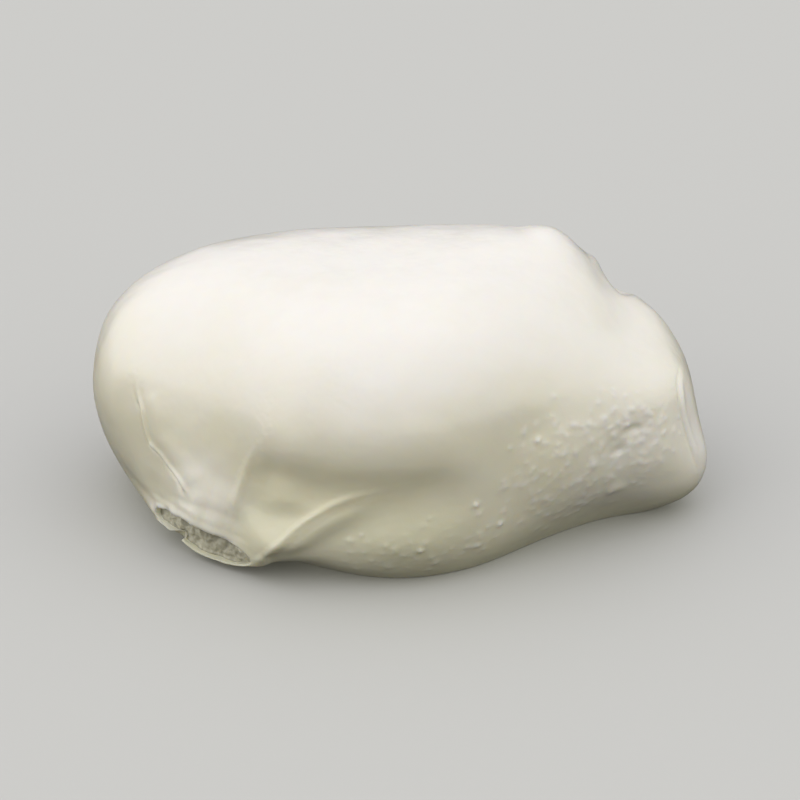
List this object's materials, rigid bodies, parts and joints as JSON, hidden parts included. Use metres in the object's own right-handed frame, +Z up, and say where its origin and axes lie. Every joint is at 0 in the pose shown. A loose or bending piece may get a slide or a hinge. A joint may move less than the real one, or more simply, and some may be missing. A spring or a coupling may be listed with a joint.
{
  "type": "burrata cheese",
  "caption": "Soft pillow-shaped pouch of fresh cheese lying on a flat base, with a gathered, flattened and cut neck at its lower front left and soft folds running out from it.",
  "frame": {"origin": "on the surface it rests on, at the middle of the cheese's length and depth", "axes": "+X along the cheese's length to its blunt end, -Y to the front where the cut neck shows, +Z up"},
  "size_m": [0.1046, 0.0724, 0.0443],
  "materials": {
    "curd": "moist, smooth, faintly translucent ivory curd with a soft sheen"
  },
  "bodies": {
    "root": {"burrata": "curd"}
  },
  "joints": []
}
